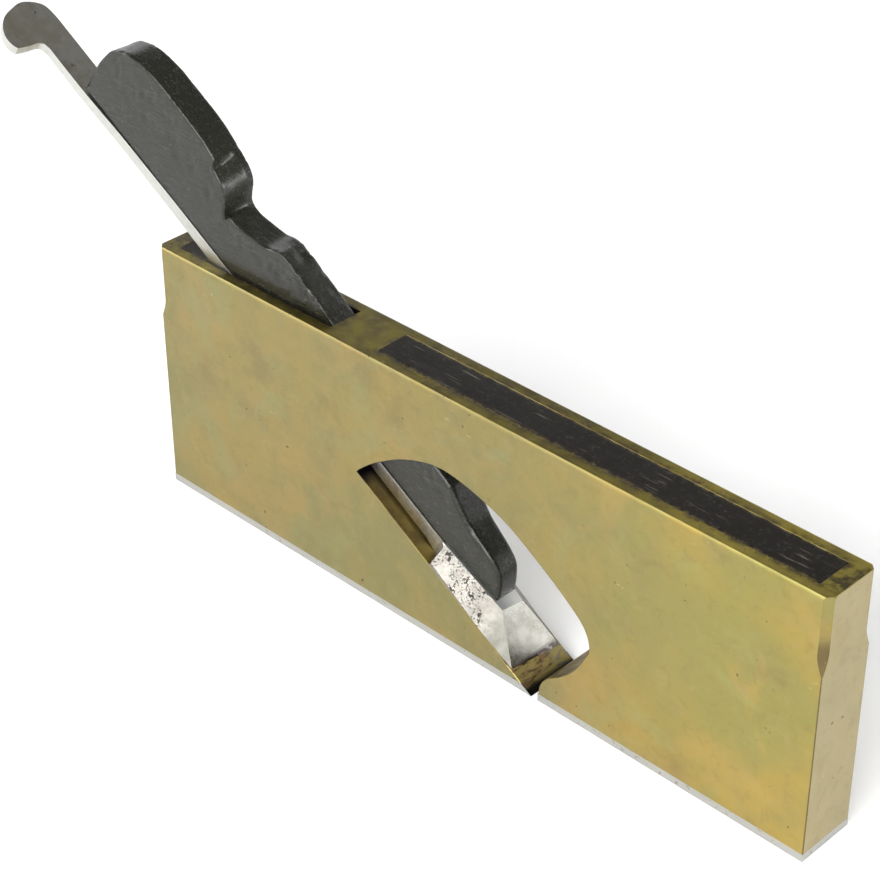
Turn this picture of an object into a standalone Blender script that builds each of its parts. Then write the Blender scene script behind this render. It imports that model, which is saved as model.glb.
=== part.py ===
"""A cast rebate plane: gunmetal body with steel sole plates, ebony infills, a tapered iron and a wedge.

Units are millimetres in the constants and metres in the scene. The plane stands on its sole.
+X runs from the heel to the toe, +Z is up, and the origin is on the sole, midway along it.
"""

import math

import bmesh
import bpy
from mathutils import Matrix, Vector

MM = 0.001
FIT = 0.3                        # gap between pieces that touch
CLEAR = 5.0                      # how far a cutter reaches past what it cuts

# Body
LENGTH = 241.0
WIDTH = 19.0
HEIGHT = 82.7
WALL = 3.8                       # side walls of the casting
END_WALL = 5.8                   # heel and toe walls
FLOOR = 6.0                      # casting's floor above the sole's underside
SOLE = 2.1                       # thickness of the steel sole plates
EDGE_ROUND = 0.8
WORN_EDGE = 0.3                  # bevel on the infills' edges
BEVEL_FROM_ANGLE = 40.0          # degrees between two faces whose edge gets that bevel
SMOOTH_TO_ANGLE = 35.0           # degrees between two faces that are shaded as one
CHAMFER = 2.0                    # stopped chamfers on the four upright corners
CHAMFER_STOP = 59.0              # where a chamfer runs out
CHAMFER_FULL = 66.0              # where it reaches its full width

# Bed: the slope that the iron lies on. It meets the sole's underside at the mouth's rear lip
BED_ANGLE = math.radians(32.4)
LIP_X = 28.4
BED_WOOD_Z = 42.0                # above this the bed is the rear infill's face
BED_WEB = 12.0                   # thickness of the casting below the bed
MOUTH_FRONT_X = 30.8

# Abutment: the slope that the wedge bears on, and the casting's bridge in front of it
ABUTMENT_ANGLE = math.radians(35.2)
ABUTMENT_TOP_X = -51.4
BRIDGE = 18.0
THROAT_WEB = 5.0                 # casting left between the throat and the front infill

# Throat: outline of the opening through both sides, from the bed's top end round to the mouth
THROAT_KNOTS = [
    (-38.6, 42.5), (-29.8, 49.6), (-16.0, 56.8), (-2.2, 58.9), (16.2, 53.9), (30.6, 45.7),
    (44.6, 35.4), (48.3, 28.2), (46.9, 23.8), (44.1, 18.8), (41.2, 15.2), (37.7, 12.0),
    (34.2, 9.6), (32.2, 7.2), (31.2, 4.6), (MOUTH_FRONT_X, 0.0),
]

# Iron, measured up the bed from the rear lip (u), across (v) and square to the bed (h)
IRON_EDGE_U = 8.2                # cutting edge, drawn back from the mouth
IRON_EDGE_SKEW = 0.9             # the cutting edge lies this much further up on the near side
IRON_BEVEL_U = 22.8
IRON_BEVEL_H = 6.3
IRON_HEAD_U = 253.0
IRON_HEAD_H = 2.7
IRON_BLANK_H = 8.0               # bar that the taper, the flanks and the bevel are ground from
SHOULDER_U = 46.6
SHANK_NEAR_V = -5.15
SHANK_FAR_V = 4.1
RIB_BEVEL_V = 3.8                # half the front face's width at the bevel
RIB_SHOULDER_V = 5.15            # and at the shoulders
BLADE_SIDE_H = 0.9               # height of the blade's thin sides
HOOK_NEAR_V = -14.9

# Wedge, in the same frame
WEDGE_WIDTH = 10.0
WEDGE_TIP_WIDTH = 7.6
WEDGE_TIP_U = 26.0
WEDGE_TAPER_U = 50.0             # the tip narrows below this
WEDGE_FRONT = [
    (218.0, 9.0), (217.5, 17.0), (215.3, 24.4), (211.3, 28.5), (206.4, 30.9), (198.9, 32.7),
    (190.0, 32.9), (182.2, 32.9), (174.8, 32.4), (169.4, 31.2), (163.9, 29.6), (161.2, 28.0),
    (159.6, 25.6), (158.6, 23.0), (157.4, 20.9), (155.4, 20.2), (152.6, 20.4), (147.6, 22.1),
    (142.6, 24.1), (139.2, 26.4), (136.4, 27.8), (133.0, 27.9), (126.0, 27.5),
]
WEDGE_NOSE = [
    (56.5, 23.85), (50.8, 20.9), (45.4, 18.8), (39.8, 17.8), (34.4, 16.9), (30.8, 15.4),
    (28.6, 12.6), (27.0, 9.6), (26.0, 6.9),
]


def clear_scene():
    for thing in list(bpy.data.objects):
        bpy.data.objects.remove(thing, do_unlink=True)


def material(name, colour, roughness, metallic):
    made = bpy.data.materials.new(name)
    made.use_nodes = True
    shader = made.node_tree.nodes["Principled BSDF"]
    shader.inputs["Base Color"].default_value = (*colour, 1.0)
    shader.inputs["Roughness"].default_value = roughness
    shader.inputs["Metallic"].default_value = metallic
    made.diffuse_color = (*colour, 1.0)
    return made


def spline(p, q, r, s, t):
    """One coordinate of the Catmull-Rom curve between q and r, with p before and s after them."""
    square = 2 * p - 5 * q + 4 * r - s
    cube = 3 * q - p - 3 * r + s
    return 0.5 * (2 * q + (r - p) * t + square * t**2 + cube * t**3)


def smooth(knots, steps=5):
    """A rounded line through the knots, as a list of points."""
    ends = [knots[0], *knots, knots[-1]]
    line = []
    for a, b, c, d in zip(ends, ends[1:], ends[2:], ends[3:]):
        for step in range(steps):
            line.append(tuple(spline(*four, step / steps) for four in zip(a, b, c, d)))
    line.append(tuple(knots[-1]))
    return line


def bed_x(z, below=0.0):
    """X of the bed line at height z, or of the line that lies below it, square to it, by that much."""
    return LIP_X - z / math.tan(BED_ANGLE) - below / math.sin(BED_ANGLE)


def abutment_x(z, ahead=0.0):
    """X of the abutment line at height z, moved towards the toe by ahead."""
    return ABUTMENT_TOP_X + (HEIGHT - z) / math.tan(ABUTMENT_ANGLE) + ahead


def bed_point(u, v, h):
    """World point, in metres, that is u up the bed from the rear lip, v across and h above the bed."""
    x = LIP_X - u * math.cos(BED_ANGLE) + h * math.sin(BED_ANGLE)
    z = u * math.sin(BED_ANGLE) + h * math.cos(BED_ANGLE)
    return Vector((x, v, z)) * MM


def finish_mesh(name, mesh_data, finish):
    bmesh.ops.recalc_face_normals(mesh_data, faces=mesh_data.faces)
    mesh = bpy.data.meshes.new(name)
    mesh_data.to_mesh(mesh)
    mesh_data.free()
    made = bpy.data.objects.new(name, mesh)
    bpy.context.scene.collection.objects.link(made)
    if finish:
        mesh.materials.append(finish)
    return made


def prism(points, sweep):
    """A bmesh solid: the flat outline through the points, extruded along the sweep."""
    solid = bmesh.new()
    outline = solid.faces.new([solid.verts.new(point) for point in points])
    swept = bmesh.ops.extrude_face_region(solid, geom=[outline])
    corners = [item for item in swept["geom"] if isinstance(item, bmesh.types.BMVert)]
    bmesh.ops.translate(solid, verts=corners, vec=sweep)
    return solid


def side_prism(name, outline, near, far, finish=None):
    """A solid with that outline in XZ, from Y = near to Y = far, all in millimetres."""
    points = [Vector((x, near, z)) * MM for x, z in outline]
    return finish_mesh(name, prism(points, Vector((0, far - near, 0)) * MM), finish)


def cutter(made):
    made.hide_render = True
    made.display_type = "WIRE"
    return made


def cut(target, tool):
    boolean = target.modifiers.new(tool.name, "BOOLEAN")
    boolean.operation = "DIFFERENCE"
    boolean.object = cutter(tool)


def add_bevel(target):
    bevel = target.modifiers.new("worn_edges", "BEVEL")
    bevel.width = WORN_EDGE * MM
    bevel.segments = 1
    bevel.limit_method = "ANGLE"
    bevel.angle_limit = math.radians(BEVEL_FROM_ANGLE)


def smooth_shading(made):
    made.data.shade_smooth()
    made.data.set_sharp_from_angle(angle=math.radians(SMOOTH_TO_ANGLE))


def throat_outline():
    """Closed outline of the throat, carried on below the sole so that it cuts right through."""
    return smooth(THROAT_KNOTS) + [(MOUTH_FRONT_X, -CLEAR), (bed_x(-CLEAR), -CLEAR)]


def mortise_outline():
    """The slot for the iron and the wedge, from above the body down into the throat."""
    above = HEIGHT + CLEAR
    low = BED_WOOD_Z
    inside_throat_z = 57.0
    return [(bed_x(above), above), (bed_x(low), low), (0.0, low),
            (abutment_x(inside_throat_z), inside_throat_z), (abutment_x(above), above)]


def inset(outline, gaps):
    """The outline moved inwards, edge by edge. gaps[i] is for the edge from point i to the next."""
    count = len(outline)
    area = sum(ax * bz - bx * az for (ax, az), (bx, bz) in zip(outline, outline[1:] + outline[:1]))
    turn = math.copysign(1.0, area)
    lines = []
    for i, gap in enumerate(gaps):
        (ax, az), (bx, bz) = outline[i], outline[(i + 1) % count]
        length = math.hypot(bx - ax, bz - az)
        dx, dz = (bx - ax) / length, (bz - az) / length
        lines.append((ax - turn * dz * gap, az + turn * dx * gap, dx, dz))
    corners = []
    for i, (bx, bz, ex, ez) in enumerate(lines):
        ax, az, dx, dz = lines[i - 1]
        along = ((bx - ax) * ez - (bz - az) * ex) / (dx * ez - dz * ex)
        corners.append((ax + dx * along, az + dz * along))
    return corners


def rear_pocket_outline():
    """The pocket for the wood behind the iron, whose upper front face is the top part of the bed."""
    left = END_WALL - LENGTH / 2
    return [(left, HEIGHT), (left, FLOOR), (bed_x(FLOOR, BED_WEB), FLOOR),
            (bed_x(BED_WOOD_Z, BED_WEB), BED_WOOD_Z), (bed_x(BED_WOOD_Z), BED_WOOD_Z),
            (bed_x(HEIGHT), HEIGHT)]


def front_pocket_outline():
    """The pocket ahead of the bridge, which follows the bridge and then the throat behind a web."""
    right = LENGTH / 2 - END_WALL
    bend_z = 68.0
    bridge = [(abutment_x(HEIGHT, BRIDGE), HEIGHT), (abutment_x(bend_z, BRIDGE), bend_z)]
    over_throat = [(x, z + THROAT_WEB) for x, z in ((0.0, 59.2), (20.0, 52.5), (48.0, 34.5))]
    beside_throat = [(x + THROAT_WEB, z) for x, z in ((48.6, 28.0), (44.6, 17.0), (37.0, FLOOR))]
    return [*bridge, *over_throat, *beside_throat, (right, FLOOR), (right, HEIGHT)]


def open_topped(outline):
    """A pocket's outline, whose ends lie on the body's top, carried straight up past it."""
    first, last = outline[0], outline[-1]
    return [(first[0], first[1] + CLEAR), *outline, (last[0], last[1] + CLEAR)]


def chamfer_cutter(name, end, side):
    """A three-cornered bar along an upright corner that runs out in a curve at the stop."""
    corner_x = end * LENGTH / 2
    corner_y = side * WIDTH / 2
    beyond = 1.0
    steps = 5
    thinnest = 0.02
    levels = []
    for step in range(steps + 1):
        share = step / steps
        size = max(thinnest, CHAMFER * math.sin(math.pi / 2 * share))
        levels.append((CHAMFER_STOP + (CHAMFER_FULL - CHAMFER_STOP) * share, size))
    levels.append((HEIGHT + CLEAR, CHAMFER))
    bar = bmesh.new()
    rings = []
    for z, size in levels:
        rings.append([bar.verts.new(Vector(point) * MM) for point in (
            (corner_x + end * beyond, corner_y + side * beyond, z),
            (corner_x - end * size, corner_y + side * beyond, z),
            (corner_x - end * size, corner_y, z),
            (corner_x, corner_y - side * size, z),
            (corner_x + end * beyond, corner_y - side * size, z))])
    bar.faces.new(rings[0])
    bar.faces.new(rings[-1])
    for low, high in zip(rings, rings[1:]):
        for i in range(len(low)):
            j = (i + 1) % len(low)
            bar.faces.new((low[i], low[j], high[j], high[i]))
    return finish_mesh(name, bar, None)


def body_casting(finish):
    """The casting: a block with rounded edges, less the throat, the mortise and both infill pockets."""
    half = LENGTH / 2
    low = SOLE + FIT
    outline = [(-half, low), (half, low), (half, HEIGHT), (-half, HEIGHT)]
    body = side_prism("body", outline, -WIDTH / 2, WIDTH / 2, finish)
    inner = WIDTH / 2 - WALL
    round_upper_edges(body)
    throat = side_prism("throat_cutter", throat_outline(), -WIDTH, WIDTH)
    smooth_shading(throat)
    cut(body, throat)
    cut(body, side_prism("mortise_cutter", mortise_outline(), -inner, inner))
    cut(body, side_prism("rear_pocket_cutter", open_topped(rear_pocket_outline()), -inner, inner))
    cut(body, side_prism("front_pocket_cutter", open_topped(front_pocket_outline()), -inner, inner))
    for end, end_name in ((-1, "heel"), (1, "toe")):
        for side, side_name in ((-1, "near"), (1, "far")):
            cut(body, chamfer_cutter(end_name + "_" + side_name + "_chamfer_cutter", end, side))
    return body


def round_upper_edges(body):
    """Rounds the block's top edges and upright corners, and leaves the edges next to the sole sharp."""
    solid = bmesh.new()
    solid.from_mesh(body.data)
    low = (SOLE + FIT + 1.0) * MM
    edges = [edge for edge in solid.edges if max(vert.co.z for vert in edge.verts) > low]
    bmesh.ops.bevel(solid, geom=edges, offset=EDGE_ROUND * MM, segments=2, profile=0.5, affect="EDGES")
    solid.to_mesh(body.data)
    solid.free()


def sole_plates(finish):
    """Two strips, one each side of the mouth. The rear one ends on the slope of the bed."""
    half = LENGTH / 2
    rear = [(-half, 0.0), (bed_x(0.0), 0.0), (bed_x(SOLE), SOLE), (-half, SOLE)]
    front = [(MOUTH_FRONT_X, 0.0), (half, 0.0), (half, SOLE), (MOUTH_FRONT_X, SOLE)]
    side_prism("sole_plate_rear", rear, -WIDTH / 2, WIDTH / 2, finish)
    side_prism("sole_plate_front", front, -WIDTH / 2, WIDTH / 2, finish)


def infills(finish):
    """The two ebony blocks: each pocket's outline less the fit, level with the body's top."""
    inner = WIDTH / 2 - WALL - FIT
    rear = rear_pocket_outline()
    front = front_pocket_outline()
    rear_gaps = [FIT] * 4 + [0.0] * 2
    front_gaps = [FIT] * (len(front) - 1) + [0.0]
    add_bevel(side_prism("infill_rear", inset(rear, rear_gaps), -inner, inner, finish))
    add_bevel(side_prism("infill_front", inset(front, front_gaps), -inner, inner, finish))


def iron_front_h(u):
    """Height of the tapered iron's front face above the bed."""
    slope = (IRON_BEVEL_H - IRON_HEAD_H) / (IRON_HEAD_U - IRON_BEVEL_U)
    return IRON_BEVEL_H - (u - IRON_BEVEL_U) * slope


def iron_outline():
    """The iron seen square to its face, as (u, v): blade, shoulders, shank and hooked head."""
    side = WIDTH / 2
    fillet = 1.4
    near_shoulder = smooth([(SHOULDER_U + 2.2, SHANK_NEAR_V), (SHOULDER_U + 0.6, SHANK_NEAR_V - 0.5),
                            (SHOULDER_U + 0.1, SHANK_NEAR_V - fillet), (SHOULDER_U - 0.6, -side)], 3)
    far_shoulder = smooth([(SHOULDER_U - 0.6, side), (SHOULDER_U + 0.1, SHANK_FAR_V + fillet),
                           (SHOULDER_U + 0.6, SHANK_FAR_V + 0.5), (SHOULDER_U + 2.2, SHANK_FAR_V)], 3)
    head = smooth([(244.0, SHANK_FAR_V), (249.0, 3.3), (251.6, 0.8), (IRON_HEAD_U, -3.0), (252.0, -7.2),
                   (250.2, -10.9), (247.2, -13.6), (244.0, HOOK_NEAR_V), (241.0, HOOK_NEAR_V),
                   (239.0, -14.0)], 4)
    throat = smooth([(238.4, -10.2), (238.3, -7.4), (237.4, -5.8), (235.2, SHANK_NEAR_V)], 4)
    return [(0.0, -side), (0.0, side), *far_shoulder, *head, *throat, *near_shoulder]


def cut_flat(solid, point, normal):
    """Cuts the solid by a plane, drops what the normal points at and closes the cut."""
    geometry = [*solid.verts, *solid.edges, *solid.faces]
    sliced = bmesh.ops.bisect_plane(
        solid, geom=geometry, plane_co=point, plane_no=normal, clear_outer=True)
    rim = [item for item in sliced["geom_cut"] if isinstance(item, bmesh.types.BMEdge)]
    bmesh.ops.edgeloop_fill(solid, edges=rim)


def plane_through(a, b, c, outward):
    """A point and the normal of the plane through three points, the normal facing outward."""
    normal = (b - a).cross(c - a).normalized()
    if normal.dot(outward) < 0:
        normal.negate()
    return a, normal


def iron(finish):
    """A tapered bar, ground to a bevel at the edge and sloped on both flanks of the blade."""
    up = bed_point(0, 0, 1) - bed_point(0, 0, 0)
    across = Vector((0, 1, 0))
    side = WIDTH / 2
    base = [bed_point(u, v, FIT) for u, v in iron_outline()]
    solid = prism(base, up * IRON_BLANK_H)
    cut_flat(solid, *plane_through(
        bed_point(0, 0, iron_front_h(0)),
        bed_point(0, 1, iron_front_h(0)),
        bed_point(IRON_HEAD_U, 0, IRON_HEAD_H), up))
    for sign in (-1, 1):
        cut_flat(solid, *plane_through(
            bed_point(IRON_BEVEL_U, sign * RIB_BEVEL_V, IRON_BEVEL_H),
            bed_point(SHOULDER_U, sign * RIB_SHOULDER_V, iron_front_h(SHOULDER_U)),
            bed_point(SHOULDER_U, sign * side, FIT + BLADE_SIDE_H), up + across * sign))
    cut_flat(solid, *plane_through(
        bed_point(IRON_EDGE_U + IRON_EDGE_SKEW, -side, FIT),
        bed_point(IRON_EDGE_U - IRON_EDGE_SKEW, side, FIT),
        bed_point(IRON_BEVEL_U, 0, IRON_BEVEL_H), up))
    made = finish_mesh("iron", solid, finish)
    smooth_shading(made)
    return made


def wedge_outline():
    """The wedge's profile as (u, h): flat on the iron, rounded top, finger notch and blunt nose."""
    top_u = WEDGE_FRONT[0][0]
    return [(top_u, iron_front_h(top_u) + FIT), *smooth(WEDGE_FRONT, 3), *smooth(WEDGE_NOSE, 3),
            (WEDGE_TIP_U, iron_front_h(WEDGE_TIP_U) + FIT)]


def wedge(finish):
    """The wedge: its profile swept across, then narrowed towards the tip."""
    half = WEDGE_WIDTH / 2
    near = [bed_point(u, -half, h) for u, h in wedge_outline()]
    solid = prism(near, Vector((0, WEDGE_WIDTH, 0)) * MM)
    bmesh.ops.triangulate(solid, faces=[face for face in solid.faces if len(face.verts) > 4])
    for vert in solid.verts:
        up_bed = bed_u(vert.co)
        if up_bed < WEDGE_TAPER_U:
            share = (WEDGE_TAPER_U - up_bed) / (WEDGE_TAPER_U - WEDGE_TIP_U)
            vert.co.y *= 1 - share * (1 - WEDGE_TIP_WIDTH / WEDGE_WIDTH)
    made = finish_mesh("wedge", solid, finish)
    smooth_shading(made)
    return made


def bed_u(point):
    """How far up the bed a world point lies, in millimetres."""
    return ((LIP_X - point.x / MM) * math.cos(BED_ANGLE)) + point.z / MM * math.sin(BED_ANGLE)


def set_origin(made, place):
    """Moves the object's origin to a world point and leaves its shape where it is."""
    made.data.transform(Matrix.Translation(-place))
    made.location = place


def main():
    clear_scene()
    gunmetal = material("gunmetal", (0.42, 0.35, 0.14), 0.42, 1.0)
    steel = material("steel", (0.46, 0.45, 0.42), 0.35, 1.0)
    ebony = material("ebony", (0.02, 0.017, 0.016), 0.45, 0.0)
    body_casting(gunmetal)
    sole_plates(steel)
    infills(ebony)
    set_origin(iron(steel), bed_point(IRON_EDGE_U, 0, FIT))
    set_origin(wedge(ebony), bed_point(WEDGE_TIP_U, 0, iron_front_h(WEDGE_TIP_U) + FIT))


main()
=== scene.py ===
"""Looks for the cast rebate plane: each CAD solid gets a worn, finely shaped piece to stand for it.

Lengths are in millimetres until a mesh is made, and in metres in the scene. The frame is the CAD's:
+X from the heel to the toe, +Y across, +Z up, the origin on the sole, midway along it.
"""

import math

import bmesh
import bpy
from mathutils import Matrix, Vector, noise


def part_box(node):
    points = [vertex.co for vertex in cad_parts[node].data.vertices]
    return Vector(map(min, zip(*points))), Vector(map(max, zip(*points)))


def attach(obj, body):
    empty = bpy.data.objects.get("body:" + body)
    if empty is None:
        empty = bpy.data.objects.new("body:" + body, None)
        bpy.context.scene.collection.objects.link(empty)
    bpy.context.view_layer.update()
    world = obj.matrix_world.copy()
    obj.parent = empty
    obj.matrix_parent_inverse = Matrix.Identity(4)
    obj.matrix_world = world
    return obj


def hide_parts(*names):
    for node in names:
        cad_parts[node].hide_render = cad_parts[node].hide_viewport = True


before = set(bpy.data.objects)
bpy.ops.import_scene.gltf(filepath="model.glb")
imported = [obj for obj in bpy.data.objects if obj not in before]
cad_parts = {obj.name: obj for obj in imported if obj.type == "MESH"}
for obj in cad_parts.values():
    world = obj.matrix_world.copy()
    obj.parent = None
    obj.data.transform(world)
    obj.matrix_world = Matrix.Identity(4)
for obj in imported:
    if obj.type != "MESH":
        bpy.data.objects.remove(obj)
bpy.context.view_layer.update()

MM = 0.001

# ---------------------------------------------------------------- dimensions shared with the CAD

BODY_LOW, BODY_HIGH = (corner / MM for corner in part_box("body"))
HALF_LENGTH = BODY_HIGH.x
HALF_WIDTH = BODY_HIGH.y
HEIGHT = BODY_HIGH.z
WALL = 3.8
CHAMFER = 2.0
CHAMFER_STOP = 59.0
CHAMFER_FULL = 66.0
FIT = 0.3
CLEAR = 5.0                      # how far the cutters reach past the faces that they open
WORN_EDGE = 0.22                 # rounding of the sole's edges and of the top's inner edges

BED_ANGLE = math.radians(32.4)
LIP_X = 28.4
BED_WOOD_Z = 42.0
BED_WEB = 12.0
MOUTH_FRONT_X = 30.8
ABUTMENT_ANGLE = math.radians(35.2)
ABUTMENT_TOP_X = -51.4
BRIDGE = 18.0
THROAT_WEB = 5.0
FLOOR_Z = 6.0
END_WALL = 5.8
THROAT_KNOTS = [
    (-38.6, 42.5), (-29.8, 49.6), (-16.0, 56.8), (-2.2, 58.9), (16.2, 53.9), (30.6, 45.7),
    (44.6, 35.4), (48.3, 28.2), (46.9, 23.8), (44.1, 18.8), (41.2, 15.2), (37.7, 12.0),
    (34.2, 9.6), (32.2, 7.2), (31.2, 4.6), (MOUTH_FRONT_X, 0.0),
]

# The iron and the wedge: u is up the bed from the mouth's rear lip, v across, h square to the bed
EDGE_U = 8.2
EDGE_SKEW = 0.9
BEVEL_U = 22.8
BEVEL_H = 6.3
HEAD_U = 253.0
HEAD_H = 2.7
SHOULDER_U = 46.6
SHANK_NEAR_V = -5.15
SHANK_FAR_V = 4.1
RIB_BEVEL_V = 3.8
RIB_SHOULDER_V = 5.15
BLADE_SIDE_H = 0.9
HOOK_V = -14.9
WEDGE_HALF = 5.0
WEDGE_LIFT = 0.03
WEDGE_TIP_HALF = 3.8
FOOT_ROUND = 0.35
# The facet pared off the front at the notch, deepest on the near side and gone at PARED_TO_V
PARED_FROM_U = 155.8
PARED_TO_U = 169.0
PARED_DEPTH = 2.8
PARED_TO_V = 2.4
WEDGE_TIP_U = 26.0
WEDGE_TAPER_U = 50.0
WEDGE_TOP = [
    (218.0, 6.0), (218.0, 9.0), (217.5, 17.0), (215.3, 24.4), (211.3, 28.5), (206.4, 30.9), (198.9, 32.7),
    (190.0, 32.9), (182.2, 32.9), (174.8, 32.4), (169.4, 31.2), (163.9, 29.6), (161.2, 28.0),
    (159.6, 25.6), (158.6, 23.0), (157.4, 20.9), (155.4, 20.2), (152.6, 20.4), (147.6, 22.1),
    (142.6, 24.1), (139.2, 26.4), (136.4, 27.8), (133.0, 27.9), (126.0, 27.5),
]
WEDGE_NOSE = [
    (56.5, 23.85), (50.8, 20.9), (45.4, 18.8), (39.8, 17.8), (34.4, 16.9), (30.8, 15.4),
    (28.6, 12.6), (27.0, 9.6), (26.2, 7.4),
]


# ---------------------------------------------------------------- shapes

def spline(p, q, r, s, t):
    """One coordinate of the Catmull-Rom curve between q and r, with p before and s after them."""
    square = 2 * p - 5 * q + 4 * r - s
    cube = 3 * q - p - 3 * r + s
    return 0.5 * (2 * q + (r - p) * t + square * t**2 + cube * t**3)


def smooth(knots, steps=10):
    """A rounded line through the knots, as a list of points."""
    ends = [knots[0], *knots, knots[-1]]
    line = []
    for a, b, c, d in zip(ends, ends[1:], ends[2:], ends[3:]):
        for step in range(steps):
            line.append(tuple(spline(*four, step / steps) for four in zip(a, b, c, d)))
    line.append(tuple(knots[-1]))
    return line


def respaced(line, gap):
    """The line with its points spread evenly, about gap apart."""
    along = [0.0]
    for (ax, ay), (bx, by) in zip(line, line[1:]):
        along.append(along[-1] + math.hypot(bx - ax, by - ay))
    count = max(1, round(along[-1] / gap))
    points = []
    place = 0
    for step in range(count + 1):
        target = along[-1] * step / count
        while place < len(line) - 2 and along[place + 1] < target:
            place += 1
        span = along[place + 1] - along[place]
        share = (target - along[place]) / span if span else 0.0
        a, b = line[place], line[place + 1]
        points.append((a[0] + (b[0] - a[0]) * share, a[1] + (b[1] - a[1]) * share))
    return points


def line_normals(line, closed=False):
    """Unit normals of a line of points, on its left."""
    count = len(line)
    normals = []
    for i in range(count):
        a = line[i - 1] if closed or i else line[i]
        b = line[(i + 1) % count] if closed or i < count - 1 else line[i]
        dx, dy = b[0] - a[0], b[1] - a[1]
        length = math.hypot(dx, dy)
        normals.append((-dy / length, dx / length))
    return normals


def bed_x(z, below=0.0):
    """Where the bed is at height z, or a plane that lies that far below it."""
    return LIP_X - z / math.tan(BED_ANGLE) - below / math.sin(BED_ANGLE)


def abutment_x(z, ahead=0.0):
    """Where the wedge's abutment is at height z, or a plane that far ahead of it along X."""
    return ABUTMENT_TOP_X + (HEIGHT - z) / math.tan(ABUTMENT_ANGLE) + ahead


def bed_point(u, v, h):
    """The point, in metres, that is u up the bed from the rear lip, v across and h above the bed."""
    x = LIP_X - u * math.cos(BED_ANGLE) + h * math.sin(BED_ANGLE)
    z = u * math.sin(BED_ANGLE) + h * math.cos(BED_ANGLE)
    return Vector((x, v, z)) * MM


def square_to_bed():
    """One millimetre square to the bed."""
    return bed_point(0, 0, 1) - bed_point(0, 0, 0)


def bed_frame(point):
    """u and h, in millimetres, of a point in metres."""
    x, z = LIP_X - point.x / MM, point.z / MM
    u = x * math.cos(BED_ANGLE) + z * math.sin(BED_ANGLE)
    h = z * math.cos(BED_ANGLE) - x * math.sin(BED_ANGLE)
    return u, h


def step_between(low, high, value):
    """0 at low, 1 at high, and a smooth change between them. low may be the larger one."""
    share = min(1.0, max(0.0, (value - low) / (high - low)))
    return share * share * (3 - 2 * share)


def waves(point, scale, seed):
    """Smooth noise, about -1 to 1, that changes over scale millimetres."""
    return noise.noise(point / (scale * MM) + Vector((seed * 7.3, seed * 3.1, seed * 1.7)))


# ---------------------------------------------------------------- mesh helpers

def object_from(name, solid):
    """An object of the bmesh, with its faces turned outward."""
    bmesh.ops.recalc_face_normals(solid, faces=solid.faces)
    mesh = bpy.data.meshes.new(name)
    solid.to_mesh(mesh)
    solid.free()
    made = bpy.data.objects.new(name, mesh)
    bpy.context.scene.collection.objects.link(made)
    return made


def prism(points, sweep):
    """A bmesh solid: the flat outline through the points, extruded along the sweep."""
    solid = bmesh.new()
    outline = solid.faces.new([solid.verts.new(point) for point in points])
    swept = bmesh.ops.extrude_face_region(solid, geom=[outline])
    corners = [item for item in swept["geom"] if isinstance(item, bmesh.types.BMVert)]
    bmesh.ops.translate(solid, verts=corners, vec=sweep)
    return solid


def join_rings(solid, rings):
    """Adds the faces between each ring of vertices and the next."""
    for low, high in zip(rings, rings[1:]):
        for i in range(len(low)):
            j = (i + 1) % len(low)
            solid.faces.new((low[i], low[j], high[j], high[i]))


def side_prism(outline, half_width):
    """A solid between the two sides at half_width, with the outline given as (x, z)."""
    points = [Vector((x, -half_width, z)) * MM for x, z in outline]
    return prism(points, Vector((0, 2 * half_width, 0)) * MM)


def cut_flat(solid, point, normal):
    """Cuts the solid by a plane, drops what the normal points at and closes the cut."""
    geometry = [*solid.verts, *solid.edges, *solid.faces]
    sliced = bmesh.ops.bisect_plane(
        solid, geom=geometry, plane_co=point, plane_no=normal, clear_outer=True)
    rim = [item for item in sliced["geom_cut"] if isinstance(item, bmesh.types.BMEdge)]
    bmesh.ops.edgeloop_fill(solid, edges=rim)


def slice_up(solid, start, end, gap):
    """Adds cuts square to the line from start to end, gap apart, so that the mesh can bend there."""
    direction = (end - start).normalized()
    for step in range(1, round((end - start).length / gap)):
        geometry = [*solid.verts, *solid.edges, *solid.faces]
        place = start + direction * gap * step
        bmesh.ops.bisect_plane(solid, geom=geometry, plane_co=place, plane_no=direction)


def bevel(solid, edges, width, segments, **settings):
    """Rounds the edges over width millimetres."""
    bmesh.ops.bevel(solid, geom=edges, offset=width * MM, segments=segments, profile=0.5,
                    affect="EDGES", **settings)


def round_edges(solid, radius, segments=2, keep=None):
    """Rounds the solid's convex edges, except those that keep says are kept sharp."""
    limit = math.radians(20.0)
    edges = []
    for edge in solid.edges:
        if len(edge.link_faces) != 2 or not edge.is_convex:
            continue
        if edge.calc_face_angle() > limit and not (keep and keep(edge)):
            edges.append(edge)
    bevel(solid, edges, radius, segments, clamp_overlap=True)


def move_points(made, mover):
    """Moves each vertex of the object by what mover gives for its place and normal."""
    shifts = [mover(vert.co, vert.normal) for vert in made.data.vertices]
    for vert, shift in zip(made.data.vertices, shifts):
        vert.co += shift
    made.data.update()


def shade(made, angle=30.0):
    """Smooth shading with sharp edges, and flat faces that keep their own normals."""
    made.data.shade_smooth()
    made.data.set_sharp_from_angle(angle=math.radians(angle))
    weighted = made.modifiers.new("even_normals", "WEIGHTED_NORMAL")
    weighted.keep_sharp = True
    return made


def settle(made):
    """Applies the object's modifiers to its mesh."""
    ready = made.evaluated_get(bpy.context.evaluated_depsgraph_get())
    mesh = bpy.data.meshes.new_from_object(ready)
    made.modifiers.clear()
    made.data = mesh


# ---------------------------------------------------------------- body

ARRIS = 0.34                     # rounding of the throat's edges, worn unevenly


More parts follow.
